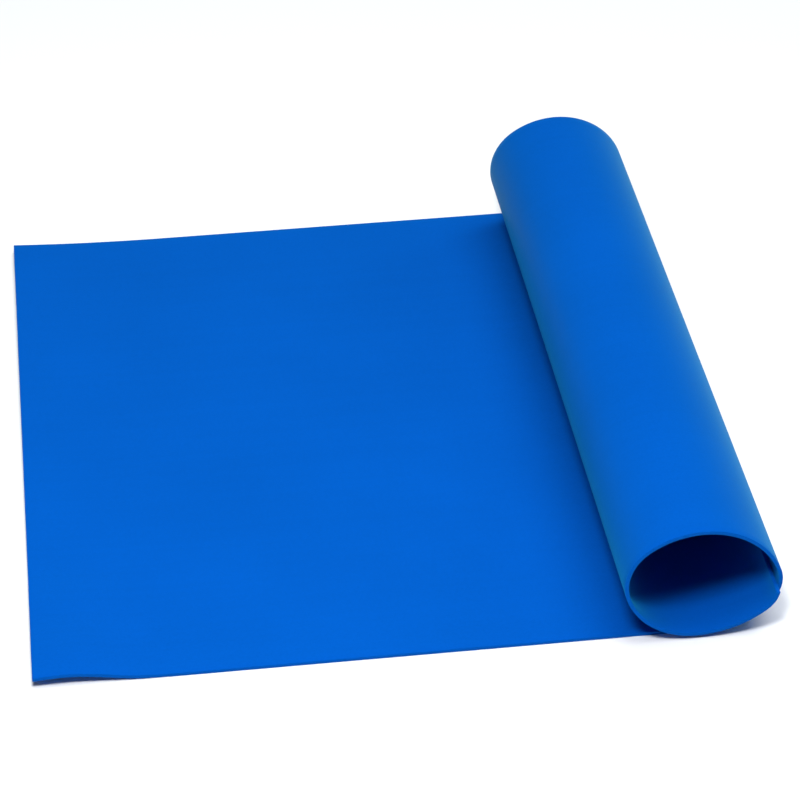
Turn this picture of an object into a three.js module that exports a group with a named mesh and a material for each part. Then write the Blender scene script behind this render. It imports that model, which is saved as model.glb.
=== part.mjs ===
// Anti static bench mat: one homogeneous rubber sheet that lies flat on its
// left and is loosely rolled, a little over one turn, at its right hand end.
// Millimetres, Z up, length of the sheet along X, width along Y.
// The origin is on the floor under the middle of the mat as it lies.
import * as THREE from 'three';

// The sheet as it is cut.
const sheetLength = 900;
const sheetWidth = 600;
const sheetThickness = 3;

// The roll's end view is five bends that meet smoothly. Each bend ends at its
// own heading, in degrees from level, counted up the right side and over.
const footHeading = 40;
const rightHeading = 110;
const topHeading = 215;
const leftHeading = 290;

// Radii of the middle of the sheet. The roll is taller at its far end, where
// its right side is bent less tightly and its top more tightly.
const footRadius = 84;
const rightRadiusNear = 28.5;
const rightRadiusFar = 34;
const topRadiusNear = 66.5;
const topRadiusFar = 63.5;

// The roll was started slightly askew, so each turn creeps toward the front.
const rollSkew = 1.58;

// The free end lies inside the first turn for this length, just clear of it.
const freeEndOverlap = 74;
const airBetweenTurns = 0.4;

// The left edge lifts off the floor in a shallow curl along its whole width.
const edgeLift = 4;
const edgeCurlLength = 130;

// A small hump in the near left corner, measured from the left edge.
const humpHeight = 5.2;
const humpFromEdge = 29;
const humpHalfLength = 58;
const humpDepth = 140;

// How finely the sheet is divided before it is bent.
const curlColumns = 10;
const flatColumns = 3;
const rollColumns = 70;
const rows = 8;
const rowCrowding = 1.7;

const skew = THREE.MathUtils.degToRad(rollSkew);
const turnStep = sheetThickness + airBetweenTurns;
const headings = [0, footHeading, rightHeading, topHeading, leftHeading, 360]
  .map((degrees) => THREE.MathUtils.degToRad(degrees));

// How far a bend of radius 1 climbs, and how far it reaches to the right.
const bends = [0, 1, 2, 3, 4].map((k) => ({
  angle: headings[k + 1] - headings[k],
  climb: Math.cos(headings[k]) - Math.cos(headings[k + 1]),
  reach: Math.sin(headings[k + 1]) - Math.sin(headings[k]),
}));

// The middle of the sheet's thickness, as arcs, from where it leaves the
// floor: up the right side, over the top, down the left, then inside itself.
// The left and heel radii are those that bring it back over the place where
// it left the floor, one thickness and a little air higher.
function rollArcs(share) {
  const right = THREE.MathUtils.lerp(rightRadiusNear, rightRadiusFar, share);
  const top = THREE.MathUtils.lerp(topRadiusNear, topRadiusFar, share);
  const known = [footRadius, right, top];
  const climb = known.reduce((sum, radius, k) => sum - radius * bends[k].climb, turnStep);
  const reach = known.reduce((sum, radius, k) => sum - radius * bends[k].reach, 0);
  const [, , , side, heel] = bends;
  const spread = side.climb * heel.reach - heel.climb * side.reach;
  const leftRadius = (climb * heel.reach - reach * heel.climb) / spread;
  const heelRadius = (reach * side.climb - climb * side.reach) / spread;
  return [
    { radius: footRadius, angle: bends[0].angle },
    { radius: right, angle: bends[1].angle },
    { radius: top, angle: bends[2].angle },
    { radius: leftRadius, angle: side.angle },
    { radius: heelRadius, angle: heel.angle },
    { radius: footRadius - turnStep, angle: bends[0].angle },
    { radius: right - turnStep, angle: bends[1].angle },
    { radius: top - turnStep, angle: 2 * Math.PI },
  ];
}

function arcLength(arcs) {
  return arcs.reduce((sum, arc) => sum + arc.radius * arc.angle, 0);
}

// Where the sheet is, and which way it heads, a given length into the roll.
function intoRoll(arcs, length) {
  let across = 0;
  let up = sheetThickness / 2;
  let heading = 0;
  let left = length;
  for (const arc of arcs) {
    const used = Math.min(left, arc.radius * arc.angle);
    const turned = heading + used / arc.radius;
    across += arc.radius * (Math.sin(turned) - Math.sin(heading));
    up += arc.radius * (Math.cos(heading) - Math.cos(turned));
    heading = turned;
    left -= used;
  }
  return { across, up, heading };
}

// The length rolled up along the near edge, and where the roll touches down.
const firstTurn = arcLength(rollArcs(0).slice(0, bends.length));
const rolledLength = firstTurn + freeEndOverlap;
const touchdown = sheetLength - rolledLength / Math.cos(skew);

// How far the left end is off the floor.
function liftAt(along, across) {
  const curl = Math.max(0, 1 - along / edgeCurlLength) ** 2 * edgeLift;
  const fromTop = Math.min(1, Math.abs(along - humpFromEdge) / humpHalfLength);
  const fromFront = Math.min(1, across / humpDepth);
  const swell = (1 + Math.cos(Math.PI * fromTop)) * (1 + Math.cos(Math.PI * fromFront)) / 4;
  return curl + humpHeight * swell;
}

// Takes a point of the flat sheet to its place on the mat as it lies.
function lay(along, across, height) {
  const into = (along - touchdown) * Math.cos(skew) + across * Math.sin(skew);
  if (into <= 0) {
    return new THREE.Vector3(along, across, height + liftAt(along, across));
  }
  const axial = across * Math.cos(skew) - (along - touchdown) * Math.sin(skew);
  const place = intoRoll(rollArcs(axial / sheetWidth), into);
  const inward = height - sheetThickness / 2;
  const out = place.across - inward * Math.sin(place.heading);
  const up = place.up + inward * Math.cos(place.heading);
  return new THREE.Vector3(
    touchdown + out * Math.cos(skew) - axial * Math.sin(skew),
    out * Math.sin(skew) + axial * Math.cos(skew),
    up,
  );
}

// Where a column of the divided sheet crosses a row: close together in the
// curl, a few long steps over the flat, then even steps around the roll.
function columnPlace(column, across) {
  const touchdownHere = touchdown - across * Math.tan(skew);
  if (column <= curlColumns) {
    return edgeCurlLength * column / curlColumns;
  }
  if (column <= curlColumns + flatColumns) {
    const step = (column - curlColumns) / flatColumns;
    return THREE.MathUtils.lerp(edgeCurlLength, touchdownHere, step);
  }
  const step = (column - curlColumns - flatColumns) / rollColumns;
  return THREE.MathUtils.lerp(touchdownHere, sheetLength, step);
}

function makeMat() {
  const columns = curlColumns + flatColumns + rollColumns;
  const sheet = new THREE.BoxGeometry(1, 1, sheetThickness, columns, rows, 1);
  const points = sheet.attributes.position;
  for (let i = 0; i < points.count; i += 1) {
    const column = Math.round((points.getX(i) + 0.5) * columns);
    const row = Math.round((points.getY(i) + 0.5) * rows);
    const across = sheetWidth * (row / rows) ** rowCrowding;
    const along = columnPlace(column, across);
    const placed = lay(along, across, points.getZ(i) + sheetThickness / 2);
    points.setXYZ(i, placed.x, placed.y, placed.z);
  }
  sheet.computeBoundingBox();
  const middle = sheet.boundingBox.getCenter(new THREE.Vector3());
  sheet.translate(-middle.x, -middle.y, -sheet.boundingBox.min.z);
  sheet.computeVertexNormals();
  return sheet;
}

const rubber = new THREE.MeshStandardMaterial({
  color: 0x0f5fc4,
  roughness: 0.6,
  metalness: 0,
});

const mat = new THREE.Mesh(makeMat(), rubber);
mat.name = 'mat';

const part = new THREE.Group();
part.name = 'anti_static_bench_mat';
part.add(mat);

export default part;
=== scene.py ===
# %% [markdown]
# # A bench mat that drains static charge, half rolled up
#
# The real object is a single sheet of blue rubber, 900 by 600 mm and 3 mm thick. It was
# calendered, which means pressed out between heated steel rollers, and then cut to a rectangle.
# It lies flat on its left, and its right end has been rolled loosely over itself, a little more
# than one turn.
#
# The lesson makes it the way a person would: cut a flat sheet, lift its free edge, roll the
# other end along a path, and only then give it its thickness. After that come the rubber, the
# floor, the light and the camera.

# %% Start from the measured model
import math

import bpy
from mathutils import Matrix, Vector


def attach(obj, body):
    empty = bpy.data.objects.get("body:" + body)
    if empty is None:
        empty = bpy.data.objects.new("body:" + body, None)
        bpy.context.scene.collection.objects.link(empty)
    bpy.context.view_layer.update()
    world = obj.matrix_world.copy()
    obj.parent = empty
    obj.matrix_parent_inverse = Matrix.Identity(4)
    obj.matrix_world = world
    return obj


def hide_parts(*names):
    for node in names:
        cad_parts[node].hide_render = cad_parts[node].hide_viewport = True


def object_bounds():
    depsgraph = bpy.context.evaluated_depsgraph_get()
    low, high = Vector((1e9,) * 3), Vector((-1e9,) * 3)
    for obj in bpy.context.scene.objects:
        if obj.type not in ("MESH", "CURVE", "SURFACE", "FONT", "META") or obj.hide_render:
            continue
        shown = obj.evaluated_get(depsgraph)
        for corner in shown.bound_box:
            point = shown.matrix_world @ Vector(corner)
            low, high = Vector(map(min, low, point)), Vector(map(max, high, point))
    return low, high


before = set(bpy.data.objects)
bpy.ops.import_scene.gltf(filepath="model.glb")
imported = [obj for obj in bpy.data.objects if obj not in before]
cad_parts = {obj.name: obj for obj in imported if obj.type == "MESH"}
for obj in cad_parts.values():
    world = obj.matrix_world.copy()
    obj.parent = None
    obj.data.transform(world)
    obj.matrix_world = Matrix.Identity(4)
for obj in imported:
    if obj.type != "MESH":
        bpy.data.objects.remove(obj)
cad_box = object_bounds()
low = Vector(cad_box[0])
high = Vector(cad_box[1])
print("the measured mat spans", [round((b - a) * 1000, 1) for a, b in zip(low, high)], "mm")

# %% [markdown]
# ## Sizes, and where the sheet starts
#
# Every length is in metres. The sheet's far left corner is also the measured box's far left
# corner, because the roll stays inside that edge, so the near left corner is one sheet's width
# in front of it. All that follows is placed from that near left corner.

# %% The sheet as it was cut
sheet_length = 0.900
sheet_width = 0.600
sheet_thickness = 0.003
near_left = Vector((low.x, high.y - sheet_width, sheet_thickness / 2))
print("near left corner, at mid thickness:", [round(c * 1000, 2) for c in near_left], "mm")

# %% [markdown]
# ## Two small helpers
#
# An operator works on whatever is selected, so each step begins by clearing the selection and
# picking one piece. A modifier is settled into the mesh as soon as it has done its work, as one
# would press Apply.


# %% Picking a piece and applying a modifier
def pick(piece):
    bpy.ops.object.select_all(action="DESELECT")
    bpy.context.view_layer.objects.active = piece
    piece.select_set(True)
    return piece


def apply_modifier(piece, kind, **settings):
    pick(piece)
    modifier = piece.modifiers.new(kind.lower(), kind)
    for name, value in settings.items():
        setattr(modifier, name, value)
    bpy.ops.object.modifier_apply(modifier=modifier.name)
    return len(piece.data.vertices)


def select_points(piece, wanted):
    pick(piece)
    bpy.ops.object.mode_set(mode="EDIT")
    bpy.ops.mesh.select_mode(type="VERT")
    bpy.ops.mesh.select_all(action="DESELECT")
    bpy.ops.object.mode_set(mode="OBJECT")
    chosen = [point for point in piece.data.vertices if wanted(point.co)]
    for point in chosen:
        point.select = True
    bpy.ops.object.mode_set(mode="EDIT")
    return len(chosen)


# %% [markdown]
# ## The flat sheet
#
# A calendered sheet has no structure of its own, so it starts as one grid with no thickness.
# The squares are 2.5 mm long in the direction that gets rolled, so that a turn of the roll has
# over a hundred of them and looks round in any view, and three times as wide across, where
# nothing bends. The grid also lays out the UV map while the sheet is still flat. The map stays
# with the rubber when it is rolled, and the surface's patterns follow it later.

# %% Cut the sheet
columns = 360
rows = 80
bpy.ops.object.select_all(action="DESELECT")
bpy.ops.mesh.primitive_grid_add(
    x_subdivisions=columns,
    y_subdivisions=rows,
    size=1,
    calc_uvs=True,
    location=near_left + Vector((sheet_length / 2, sheet_width / 2, 0)),
)
mat = bpy.context.object
mat.name = "bench_mat"
mat.scale = (sheet_length, sheet_width, 1)
bpy.ops.object.transform_apply(location=True, rotation=True, scale=True)
print("flat sheet:", len(mat.data.vertices), "points,", len(mat.data.polygons), "squares")

# %% [markdown]
# ## The free edge
#
# Rubber that has been stored rolled never lies quite flat again. The left edge stands a few
# millimetres off the floor, and in the near corner there is a low swelling where the sheet has
# been lifted and let go. Both are made by pulling points up with proportional editing, which
# lets the rubber around them follow. The sharp falloff dies away like a curl does. The swelling
# takes two pulls, a short one and a longer one, so that it fades gradually toward the middle of
# the sheet.

# %% Lift the left edge and the near corner
edge_lift = 0.004
edge_curl_length = 0.130
swelling_height = 0.0052
swelling_from_edge = 0.029
swelling_reach = 0.058
swelling_depths = (0.030, 0.085)
half_a_square = sheet_length / columns / 2


def pull_up(height, reach, falloff):
    bpy.ops.transform.translate(
        value=(0, 0, height),
        use_proportional_edit=True,
        proportional_edit_falloff=falloff,
        proportional_size=reach,
    )
    bpy.ops.object.mode_set(mode="OBJECT")


count = select_points(mat, lambda p: p.x - near_left.x < 0.0001)
pull_up(edge_lift, edge_curl_length, "SHARP")
print("the left edge's", count, "points lifted by", edge_lift * 1000, "mm")

swelling_x = near_left.x + swelling_from_edge
for depth in swelling_depths:
    far_end = near_left.y + depth
    select_points(mat, lambda p: abs(p.x - swelling_x) < half_a_square and p.y < far_end)
    pull_up(swelling_height / 2, swelling_reach, "SMOOTH")
tallest = max(point.co.z for point in mat.data.vertices)
print("the near corner rises", round((tallest - near_left.z) * 1000, 2), "mm off the floor")

# %% [markdown]
# ## The path that the sheet is rolled along
#
# Seen from its end, the roll is not a circle. The rubber sags under its own weight: the sheet
# leaves the floor in a long slow bend, turns back tightly on the right, and closes in wider
# bends over the top and down the left. Five bends that meet smoothly draw that outline. The
# sheet then runs on inside itself, where it lies one thickness and a hair of air further in.
# The curve below follows the middle of the sheet's thickness all that way.
#
# Three of the five radii are chosen. The other two, at the left and at the heel, are reckoned
# from them, because one whole turn must end exactly above the place where it began, one
# thickness and the air higher. The two ends of the roll differ slightly, the far one being
# taller, so two paths are drawn.

# %% The roll's bends
headings = [math.radians(angle) for angle in (0, 40, 110, 215, 290, 360)]
foot_radius = 0.084
right_and_top_near = (0.0285, 0.0665)
right_and_top_far = (0.0340, 0.0635)
air_between_turns = 0.0004
free_end_overlap = 0.074
turn_step = sheet_thickness + air_between_turns
angles = [end - start for start, end in zip(headings, headings[1:])]
climbs = [math.cos(start) - math.cos(end) for start, end in zip(headings, headings[1:])]
reaches = [math.sin(end) - math.sin(start) for start, end in zip(headings, headings[1:])]


def roll_arcs(right, top):
    known = (foot_radius, right, top)
    climb = turn_step - sum(radius * unit for radius, unit in zip(known, climbs))
    reach = -sum(radius * unit for radius, unit in zip(known, reaches))
    spread = climbs[3] * reaches[4] - climbs[4] * reaches[3]
    left = (climb * reaches[4] - reach * climbs[4]) / spread
    heel = (reach * climbs[3] - climb * reaches[3]) / spread
    turn = list(zip((*known, left, heel), angles))
    return turn + [(radius - turn_step, angle) for radius, angle in turn[:3]]


near_turn = roll_arcs(*right_and_top_near)[:5]
first_turn = sum(radius * angle for radius, angle in near_turn)
print("bends of", [round(radius * 1000, 1) for radius, angle in near_turn], "mm")
print("one turn takes", round(first_turn * 1000, 1), "mm of sheet")

# %% [markdown]
# The roll was started slightly askew. That is why its inner turn stands out past the near edge,
# and why the roll isn't quite square to the sheet. A sheet rolled askew needs no stretching:
# only the path is turned by that angle, and everything else follows from it.

# %% Where the roll touches down
roll_skew = math.radians(1.58)
rolled_length = first_turn + free_end_overlap
touchdown_from_left = sheet_length - rolled_length / math.cos(roll_skew)
touchdown = near_left + Vector((touchdown_from_left, 0, 0))
across_roll = Vector((math.cos(roll_skew), math.sin(roll_skew), 0))
along_roll = Vector((-math.sin(roll_skew), math.cos(roll_skew), 0))
print("flat for", round(touchdown_from_left * 1000, 1), "mm")
print("rolled for", round(rolled_length * 1000, 1), "mm")


# %% Draw a path
def draw_path(name, right, top):
    lead_in = 0.050
    step = 0.001
    points = [(step * k, 0.0) for k in range(round(lead_in / step) + 1)]
    heading = 0.0
    for radius, angle in roll_arcs(right, top):
        parts = max(1, round(radius * angle / step))
        x, z = points[-1]
        for k in range(1, parts + 1):
            turned = heading + angle * k / parts
            points.append((
                x + radius * (math.sin(turned) - math.sin(heading)),
                z + radius * (math.cos(heading) - math.cos(turned)),
            ))
        heading += angle
    line = bpy.data.curves.new(name, "CURVE")
    line.dimensions = "3D"
    spline = line.splines.new("POLY")
    spline.points.add(len(points) - 1)
    for point, (x, z) in zip(spline.points, points):
        point.co = (x, 0, z, 1)
    path = bpy.data.objects.new(name, line)
    bpy.context.collection.objects.link(path)
    path.location = touchdown - across_roll * lead_in
    path.rotation_euler = (0, 0, roll_skew)
    bpy.context.view_layer.update()
    print(name, "has", len(points), "points")
    return path


near_path = draw_path("near_roll_path", *right_and_top_near)
far_path = draw_path("far_roll_path", *right_and_top_far)

# %% [markdown]
# ## Rolling it up
#
# The Curve modifier bends a mesh along a path without stretching it lengthwise, which is just
# what a stiff rubber sheet does. The sheet is rolled twice: the original along the near path,
# and a copy along the far one. The copy is then joined to the original as a shape key, and a
# vertex group that grows from 0 at the near edge to 1 at the far edge decides how much of each
# shape a point takes. Applying the mix leaves one sheet whose roll changes evenly from end to
# end.

# %% Roll the near and the far shape
pick(mat)
bpy.ops.object.duplicate()
far_shape = bpy.context.object
far_shape.name = "far_shape"

across = [(point.co - touchdown).dot(along_roll) for point in mat.data.vertices]
apply_modifier(mat, "CURVE", object=near_path, deform_axis="POS_X")
apply_modifier(far_shape, "CURVE", object=far_path, deform_axis="POS_X")

# %% Blend the two
share = mat.vertex_groups.new(name="toward_far_end")
for point, distance in enumerate(across):
    share.add([point], min(1, max(0, distance / sheet_width)), "REPLACE")

pick(mat)
far_shape.select_set(True)
bpy.ops.object.join_shapes()
key = mat.data.shape_keys.key_blocks[-1]
key.vertex_group = share.name
key.value = 1.0
pick(mat)
mat.active_shape_key_index = 1
bpy.ops.object.shape_key_remove(all=True, apply_mix=True)
mat.vertex_groups.remove(share)
for helper in (far_shape, near_path, far_path):
    bpy.data.objects.remove(helper)
top = max(point.co.z for point in mat.data.vertices)
print("the roll's middle line reaches", round(top * 1000, 1), "mm up")

# %% [markdown]
# ## Thickness and cut edges
#
# Solidify turns the thin surface into a 3 mm slab, half of it to either side of the middle
# line, and gives the narrow faces around the outline their own material slot. A knife leaves a
# crisp edge on rubber but never a perfect one, so a bevel of a quarter of a millimetre takes
# the sharpness off and gives the edge a fine line of light.

# %% Give the sheet its body
apply_modifier(
    mat, "SOLIDIFY", thickness=sheet_thickness, offset=0, use_even_offset=True,
    material_offset_rim=1,
)
rim_faces = sum(1 for face in mat.data.polygons if face.material_index == 1)
print("slab:", len(mat.data.polygons), "faces, of which", rim_faces, "on the cut edge")

edge_softness = 0.00025
apply_modifier(
    mat, "BEVEL", width=edge_softness, segments=2, limit_method="ANGLE",
    angle_limit=math.radians(60),
)
pick(mat)
bpy.ops.object.shade_smooth_by_angle(angle=math.radians(40))
triangles = sum(len(face.vertices) - 2 for face in mat.data.polygons)
print("finished mat:", triangles, "triangles")

# %% [markdown]
# ## Shader arithmetic
#
# A material is a set of nodes, and most of them only add or multiply. This small class stands
# for one output of one node, so that sums can be written as sums. Everything that isn't plain
# arithmetic goes through its one method, which takes the node's type, its settings and what is
# plugged into it.


# %% A socket that can be reckoned with
class Signal:
    def __init__(self, tree, socket=None):
        self.tree = tree
        self.socket = socket

    def node(self, kind, settings=None, inputs=None, output=0):
        made = self.tree.nodes.new(kind)
        for name, value in (settings or {}).items():
            setattr(made, name, value)
        for name, value in (inputs or {}).items():
            if isinstance(value, Signal):
                self.tree.links.new(value.socket, made.inputs[name])
            else:
                made.inputs[name].default_value = value
        return Signal(self.tree, made.outputs[output] if len(made.outputs) else None)

    def math(self, operation, first, second):
        return self.node("ShaderNodeMath", {"operation": operation}, {0: first, 1: second})

    def __add__(self, other):
        return self.math("ADD", self, other)

    def __mul__(self, other):
        return self.math("MULTIPLY", self, other)

    __radd__ = __add__
    __rmul__ = __mul__


def blend_colours(amount, first, second):
    settings = {"data_type": "RGBA", "blend_type": "MIX"}
    return amount.node("ShaderNodeMix", settings, {0: amount, 6: first, 7: second}, output=2)


# %% [markdown]
# ## The rubber
#
# The colour is a strong royal blue all the way through. Pigment and filler never mix perfectly,
# so it drifts a little over a hand's width, and closer up it is finely mottled, in flecks of
# about two millimetres. The rollers of the calender leave faint streaks along the sheet's
# length, which belong to the UV map. The skin of the rubber also has an even grain about half a
# millimetre across. Mottling and grain are the same in all directions, so they read Object
# coordinates.
#
# The surface is satin instead of glossy: it shows broad, soft lights along the roll and no
# clear reflection, so the highlight is weak, and tinted like the rubber. Wax also blooms to the
# skin of rubber as it ages. A little rough sheen stands for it, and shows as grey green where
# the roll turns away from the eye.


# %% A material, and patterns measured in metres
def new_material(name):
    material = bpy.data.materials.new(name)
    material.use_nodes = True
    material.node_tree.nodes.clear()
    start = Signal(material.node_tree)
    return start, start.node("ShaderNodeTexCoord", output="Object")


def scaled(vector, *factors):
    settings = {"operation": "MULTIPLY"}
    return vector.node("ShaderNodeVectorMath", settings, {0: vector, 1: factors})


def noise(vector, scale, detail=2.0, roughness=0.5):
    inputs = {"Vector": vector, "Scale": scale, "Detail": detail, "Roughness": roughness}
    return vector.node("ShaderNodeTexNoise", {"noise_dimensions": "3D"}, inputs)


def rubber_shader(colour, roughness, height, bump_depth):
    relief = {"Strength": 1.0, "Distance": bump_depth, "Height": height}
    bump = colour.node("ShaderNodeBump", None, relief)
    fixed = {
        "IOR": 1.5,
        "Specular IOR Level": 0.01,
        "Specular Tint": (0.05, 0.75, 1.0, 1),
        "Sheen Weight": 0.24,
        "Sheen Roughness": 0.55,
        "Sheen Tint": (0.03, 0.60, 0.62, 1),
    }
    varying = {"Base Color": colour, "Roughness": roughness, "Normal": bump}
    surface = colour.node("ShaderNodeBsdfPrincipled", None, {**fixed, **varying})
    colour.node("ShaderNodeOutputMaterial", None, {"Surface": surface})
    return len(colour.tree.nodes)


# %% The calendered faces
deep_blue = (0.0002, 0.055, 0.310, 1)
clear_blue = (0.0004, 0.088, 0.500, 1)

start, place = new_material("calendered_blue_rubber")
flat = start.node("ShaderNodeUVMap", {"uv_map": "UVMap"})
in_metres = scaled(flat, sheet_length, sheet_width, 1)
clouding = noise(in_metres, scale=7, detail=3)
streaks = noise(scaled(in_metres, 2, 160, 1), scale=1)
grain = noise(place, scale=1900, roughness=0.6)
mottle = noise(place, scale=420, detail=3, roughness=0.7)

shade = clouding * 0.4 + streaks * 0.15 + mottle * 0.45
colour = blend_colours(shade, deep_blue, clear_blue)
roughness = 0.40 + clouding * 0.06 + streaks * 0.04 + mottle * 0.08
height = grain * 0.6 + mottle * 0.9 + streaks * 0.25
node_count = rubber_shader(colour, roughness, height, bump_depth=0.00006)
print("the faces' material has", node_count, "nodes")

# %% [markdown]
# The cut edge is the same rubber, opened by a blade. It has no calendered skin, so it is duller
# and a touch greyer, and the blade has dragged fine lines through it. The lines run along the
# cut, so the pattern is stretched in the plane of the floor and tight in height.

# %% The cut edge
cut_deep = (0.008, 0.060, 0.24, 1)
cut_clear = (0.016, 0.100, 0.38, 1)

start, place = new_material("cut_blue_rubber")
crumb = noise(place, scale=1400, detail=3, roughness=0.6)
drag = noise(scaled(place, 60, 60, 2400), scale=1)

colour = blend_colours(crumb * 0.5 + drag * 0.5, cut_deep, cut_clear)
roughness = 0.58 + crumb * 0.16
height = crumb * 0.7 + drag * 0.6
node_count = rubber_shader(colour, roughness, height, bump_depth=0.00012)
print("the cut edge's material has", node_count, "nodes")

# %% Put both on the sheet, the faces' first
mat.data.materials.clear()
for name in ("calendered_blue_rubber", "cut_blue_rubber"):
    mat.data.materials.append(bpy.data.materials[name])
print("materials:", [slot.material.name for slot in mat.material_slots])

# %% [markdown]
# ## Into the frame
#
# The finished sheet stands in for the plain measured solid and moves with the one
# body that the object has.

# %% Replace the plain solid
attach(mat, "root")
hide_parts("mat")

# %% [markdown]
# ## Floor, light and camera
#
# The floor is plain and pale. Most of the light comes down from overhead, from a sun lamp with
# a very wide disc, because it casts soft shadows and lights the floor alike near and far. A
# small lamp stands high at the front left: it reaches the first centimetres inside the roll's
# mouth and leaves the rest of the tube dark. A weak, slightly green lamp at the back right
# draws the pale line along the roll's far side.

# %% Floor
floor_size = 40
bpy.ops.object.select_all(action="DESELECT")
bpy.ops.mesh.primitive_plane_add(size=floor_size, location=(0, 0, 0))
floor = bpy.context.object
floor.name = "floor"
floor_paint = bpy.data.materials.new("pale_floor")
floor_paint.use_nodes = True
painted = floor_paint.node_tree.nodes["Principled BSDF"]
painted.inputs["Base Color"].default_value = (0.84, 0.85, 0.86, 1)
painted.inputs["Roughness"].default_value = 0.9
painted.inputs["Specular IOR Level"].default_value = 0.1
floor.data.materials.append(floor_paint)
print("the floor is", floor_size, "m across")


# %% Lamps
def lamp(name, kind, place, aim, power):
    bpy.ops.object.light_add(type=kind, location=place)
    made = bpy.context.object
    made.name = name
    made.data.energy = power
    toward = Vector(aim) - Vector(place)
    made.rotation_euler = toward.to_track_quat("-Z", "Y").to_euler()
    return made.data


overhead = lamp("overhead_lamp", "SUN", (0.9, 0.75, 2.8), (0.2, 0.3, 0), 2.35)
overhead.angle = math.radians(52)

front = lamp("front_lamp", "AREA", (-0.20, -0.95, 1.55), (0.05, 0, 0), 26.5)
front.size = 0.40

back = lamp("back_lamp", "AREA", (2.6, 1.6, 1.6), (0.2, 0, 0.05), 10)
back.size = 1.2
back.color = (0.60, 1.0, 0.92)
print("lamps:", [light.name for light in bpy.data.lights])

# %% The pale room around them
world = bpy.data.worlds.new("pale_room")
world.use_nodes = True
room = world.node_tree.nodes["Background"]
room.inputs["Color"].default_value = (0.90, 0.97, 1.0, 1)
room.inputs["Strength"].default_value = 0.11
bpy.context.scene.world = world
bpy.context.scene.view_settings.view_transform = "Standard"

# %% [markdown]
# The photograph was taken with a long lens from about 2.6 m away, 35 degrees above the floor
# and 6.5 degrees to the left of the sheet's own axis, held a little out of level. The fit to
# the photograph gives the focal length in pixels, so it is turned into millimetres by the size
# of one pixel on the sensor.

# %% Camera
camera_rise = math.radians(35.4)
camera_turn = math.radians(6.568)
camera_tilt = math.radians(0.705)
camera_distance = 2.6345
focal_length_in_pixels = 3177.8
photograph_width_in_pixels = 800
sensor_width = 36
looks_at = near_left + Vector((0.31234, 0.32770, -sheet_thickness / 2))

bpy.ops.object.camera_add()
camera = bpy.context.object
turn = Matrix.Rotation(-camera_turn, 4, "Z")
pitch = Matrix.Rotation(math.pi / 2 - camera_rise, 4, "X")
tilt = Matrix.Rotation(-camera_tilt, 4, "Z")
stance = turn @ pitch @ tilt
backward = stance.to_3x3() @ Vector((0, 0, 1))
camera.matrix_world = Matrix.Translation(looks_at + backward * camera_distance) @ stance
camera.data.sensor_width = sensor_width
camera.data.lens = focal_length_in_pixels / photograph_width_in_pixels * sensor_width
camera.data.clip_end = 50
bpy.context.scene.camera = camera
camera_place = [round(c, 3) for c in camera.matrix_world.translation]
print("camera at", camera_place, "with a lens of", round(camera.data.lens, 1), "mm")
